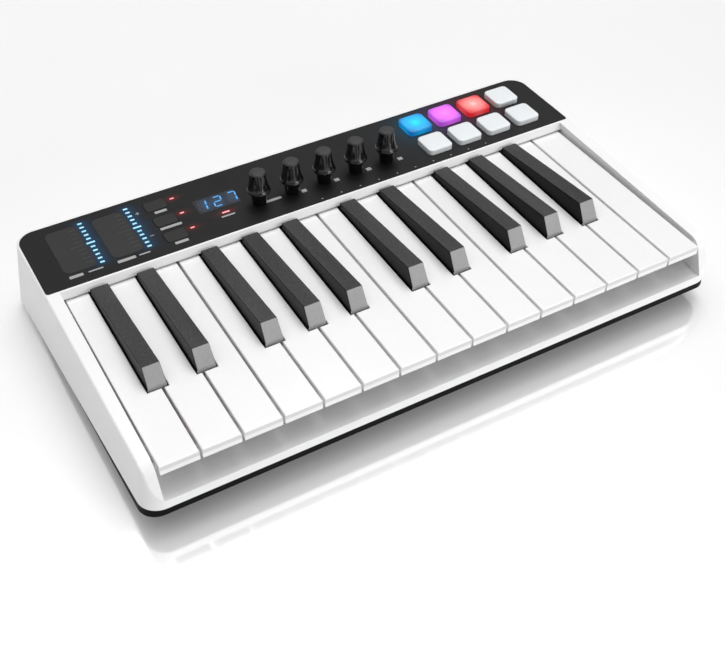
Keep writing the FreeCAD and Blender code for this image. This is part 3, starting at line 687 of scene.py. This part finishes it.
SEGMENTS = {
    "a": ((-1, 1), (1, 1)), "b": ((1, 0), (1, 1)), "c": ((1, -1), (1, 0)), "d": ((-1, -1), (1, -1)),
    "e": ((-1, -1), (-1, 0)), "f": ((-1, 0), (-1, 1)), "g": ((-1, 0), (1, 0)),
}
DIGITS = {"1": "bc", "2": "abged", "7": "abc"}
DIGIT_HALF = (2.5 * MM, 4.7 * MM)
DIGIT_SLANT = 0.18
STROKE = 0.95 * MM
STROKE_GAP = 0.3 * MM


def make_digits(shader, dim_shader):
    """Three slanted seven-segment digits, with the segments that are off just showing."""
    centre = middle("display_window")
    z0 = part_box("display_window")[1].z + 0.005 * MM
    half_w, half_h = DIGIT_HALF
    for lit, material, name in ((True, shader, "display_digits"), (False, dim_shader, "display_dim")):
        bm = bmesh.new()
        for text, shift in DIGIT_PLACES:
            cx = centre.x + shift * MM
            for key, ((ax, ay), (bx, by)) in SEGMENTS.items():
                if (key in DIGITS[text]) != lit:
                    continue
                x0, y0 = cx + ax * half_w + ay * half_h * DIGIT_SLANT, centre.y + ay * half_h
                x1, y1 = cx + bx * half_w + by * half_h * DIGIT_SLANT, centre.y + by * half_h
                d = Vector((x1 - x0, y1 - y0)).normalized() * STROKE_GAP
                segment(bm, x0 + d.x, y0 + d.y, x1 - d.x, y1 - d.y, STROKE, z0, z0 + 0.02 * MM)
        piece(name, bm, material, "chassis", smooth=False)


digit_glow = glow_shader("digit_glow", (0.09, 0.36, 0.72), (0.05, 0.27, 0.64), 0.3, 0.8,
                         skin=(0.1, 0.1, 0.1))
digit_dim = grained("digit_dim", (0.020, 0.016, 0.015), (0.034, 0.026, 0.024), 0.5, 2600.0, 0.005)
make_digits(digit_glow, digit_dim)


# ---------------------------------------------------------------- printing on the panel
def make_print():
    """Plain bars where a panel like this has its labels, with plus and minus marks."""
    (pitch, pitch_edge), (octave, octave_edge) = [
        ((low + high) / 2, low.y) for low, high in solids_of("touch_strips")]
    window, window_edge = middle("display_window"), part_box("display_window")[0].y
    first, second = middle(KNOBS[0]), middle(KNOBS[1])
    # (place to measure from x, y, then across, back, width, depth in mm)
    bold = [
        (pitch.x, pitch_edge, -4.75, -4.0, 8.5, 2.5),
        (octave.x, octave_edge, -3.35, -4.0, 11.3, 2.5),
        (first.x, first.y, 8.15, -1.0, 13.0, 2.2),
    ]
    for name, width in zip(BUTTONS, (8.0, 14.0, 8.6)):
        bold.append((middle(name).x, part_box(name)[0].y, 0.85, -1.5, width, 2.3))
    fine = [
        (pitch.x, pitch_edge, 7.2, -4.0, 9.0, 1.1),
        (octave.x, octave_edge, 8.0, -4.0, 7.0, 1.1),
        (window.x, window_edge, 0.9, -9.2, 9.0, 1.3),
    ]
    # squares beside the knobs, dots along the front edge, then the plus and the minus
    fine += [(second.x, second.y, 7.2 + 23.65 * k, -2.2, 3.4, 3.0) for k in range(4)]
    fine += [(0.0, PANEL_LOW.y, -4.15 + 13.74 * k, 2.9, 1.0, 0.7) for k in range(10)]
    fine += [(octave.x, octave.y, 18.0, back, 2.6, 0.5) for back in (13.0, -11.6)]
    upright = (octave.x, octave.y, 18.0, 13.0, 0.5, 2.6)
    fine.append(upright)
    for name, marks, radius in (("panel_label_bars", bold, 0.5), ("panel_fine_marks", fine, 0.1)):
        bm = bmesh.new()
        for mark in marks:
            x, y, across, back, width, depth = mark
            # the plus's upright stands a hair above its other stroke
            top = DECK + PRINT_LIFT + (0.004 * MM if mark is upright else 0.0)
            bar(bm, x + across * MM, y + back * MM, width * MM, depth * MM, DECK, top, radius * MM)
        piece(name, bm, print_grey, "chassis", smooth=False)


def make_ticks():
    """Faint scale lines on the touch strips, beside their lights, the middle one longer."""
    bm = bmesh.new()
    rows = sorted({round((low.y + high.y) / 2, 5) for low, high in LEDS if high.x < STRIP_LEDS_TO})
    middle_row = rows[len(rows) // 2]
    for low, high in solids_of("touch_strips"):
        for y in rows[1:-1]:
            width = 8.5 * MM if y == middle_row else 4.6 * MM
            cx = high.x - 1.4 * MM - width / 2
            bar(bm, cx, y, width, 0.25 * MM, high.z, high.z + 0.02 * MM, 0.1 * MM)
    piece("strip_ticks", bm, print_faint, "chassis", smooth=False)


make_print()
make_ticks()


# ---------------------------------------------------------------- studio
def make_floor():
    """Pale floor with a soft mirror in it, a little brighter far behind the object."""
    s = Shader("floor")
    s.base(s.ramp(s.noise(6.0, 2.0), [(0.3, (0.96, 0.96, 0.96)), (0.7, (0.98, 0.98, 0.98))]))
    s.bsdf.inputs["Roughness"].default_value = 0.6
    gloss = s.add("ShaderNodeBsdfGlossy")
    gloss.inputs["Color"].default_value = (1.0, 1.0, 1.0, 1.0)
    gloss.inputs["Roughness"].default_value = 0.08
    blend = s.add("ShaderNodeMixShader")
    blend.inputs[0].default_value = 0.34
    s.bsdf.inputs["Emission Color"].default_value = (1.0, 1.0, 1.0, 1.0)
    s.join(s.spread(s.axis("Y"), 0.10, 0.34, -0.2, 1.0), s.bsdf.inputs["Emission Strength"])
    s.join(s.bsdf.outputs[0], blend.inputs[1])
    s.join(gloss.outputs[0], blend.inputs[2])
    s.join(blend.outputs[0], s.out.inputs[0])
    bm = bmesh.new()
    bmesh.ops.create_grid(bm, x_segments=8, y_segments=8, size=12.0)
    mesh = bpy.data.meshes.new("studio_floor")
    bm.to_mesh(mesh)
    bm.free()
    mesh.materials.append(s.material)
    floor = bpy.data.objects.new("studio_floor", mesh)
    scene.collection.objects.link(floor)


def make_world():
    """Soft dome, brightest overhead, with a pale band along the horizon."""
    world = bpy.data.worlds.new("studio")
    scene.world = world
    world.use_nodes = True
    tree = world.node_tree
    tree.nodes.clear()
    out = tree.nodes.new("ShaderNodeOutputWorld")
    back = tree.nodes.new("ShaderNodeBackground")
    coords = tree.nodes.new("ShaderNodeTexCoord")
    split = tree.nodes.new("ShaderNodeSeparateXYZ")
    ramp = tree.nodes.new("ShaderNodeValToRGB")
    tree.links.new(coords.outputs["Generated"], split.inputs[0])
    tree.links.new(split.outputs["Z"], ramp.inputs["Fac"])
    # (height of the direction, from 0 at the horizon to 1 overhead, and its brightness)
    stops = [(0.0, 0.52), (0.07, 0.50), (0.12, 0.07), (0.35, 0.13), (0.7, 0.38), (1.0, 1.0)]
    elements = ramp.color_ramp.elements
    while len(elements) < len(stops):
        elements.new(0.5)
    for element, (place, value) in zip(elements, stops):
        element.position = place
        element.color = (value, value, value, 1.0)
    tree.links.new(ramp.outputs["Color"], back.inputs["Color"])
    back.inputs["Strength"].default_value = 1.35
    tree.links.new(back.outputs[0], out.inputs[0])


def area_light(name, at, aim, size, size_y, power):
    """A soft box that lights the object but isn't seen itself."""
    data = bpy.data.lights.new(name, "AREA")
    data.shape = "RECTANGLE"
    data.size = size
    data.size_y = size_y
    data.energy = power
    obj = bpy.data.objects.new(name, data)
    scene.collection.objects.link(obj)
    obj.location = at
    direction = Vector(aim) - Vector(at)
    obj.rotation_euler = direction.to_track_quat("-Z", "Y").to_euler()
    obj.visible_camera = False


def sun_light(name, towards, spread, strength):
    data = bpy.data.lights.new(name, "SUN")
    data.angle = math.radians(spread)
    data.energy = strength
    obj = bpy.data.objects.new(name, data)
    scene.collection.objects.link(obj)
    obj.rotation_euler = Vector(towards).to_track_quat("Z", "Y").to_euler()


def make_camera():
    data = bpy.data.cameras.new("camera")
    data.lens = 56.71
    data.sensor_width = 36.0
    data.sensor_fit = "HORIZONTAL"
    data.clip_start = 0.01
    camera = bpy.data.objects.new("camera", data)
    scene.collection.objects.link(camera)
    camera.location = (-0.26578, -0.46947, 0.48922)
    view = Vector((0.35585, 0.62960, -0.69065))
    camera.rotation_euler = view.to_track_quat("-Z", "Y").to_euler()
    scene.camera = camera


make_floor()
make_world()
sun_light("overhead_light", (0.28, 0.34, 1.0), 38.0, 1.4)
area_light("front_light", (0.75, -1.7, 0.42), (0.0, 0.0, 0.03), 1.0, 0.55, 12.0)
make_camera()
scene.view_settings.view_transform = "Standard"
scene.view_settings.look = "None"
scene.cycles.use_denoising = True
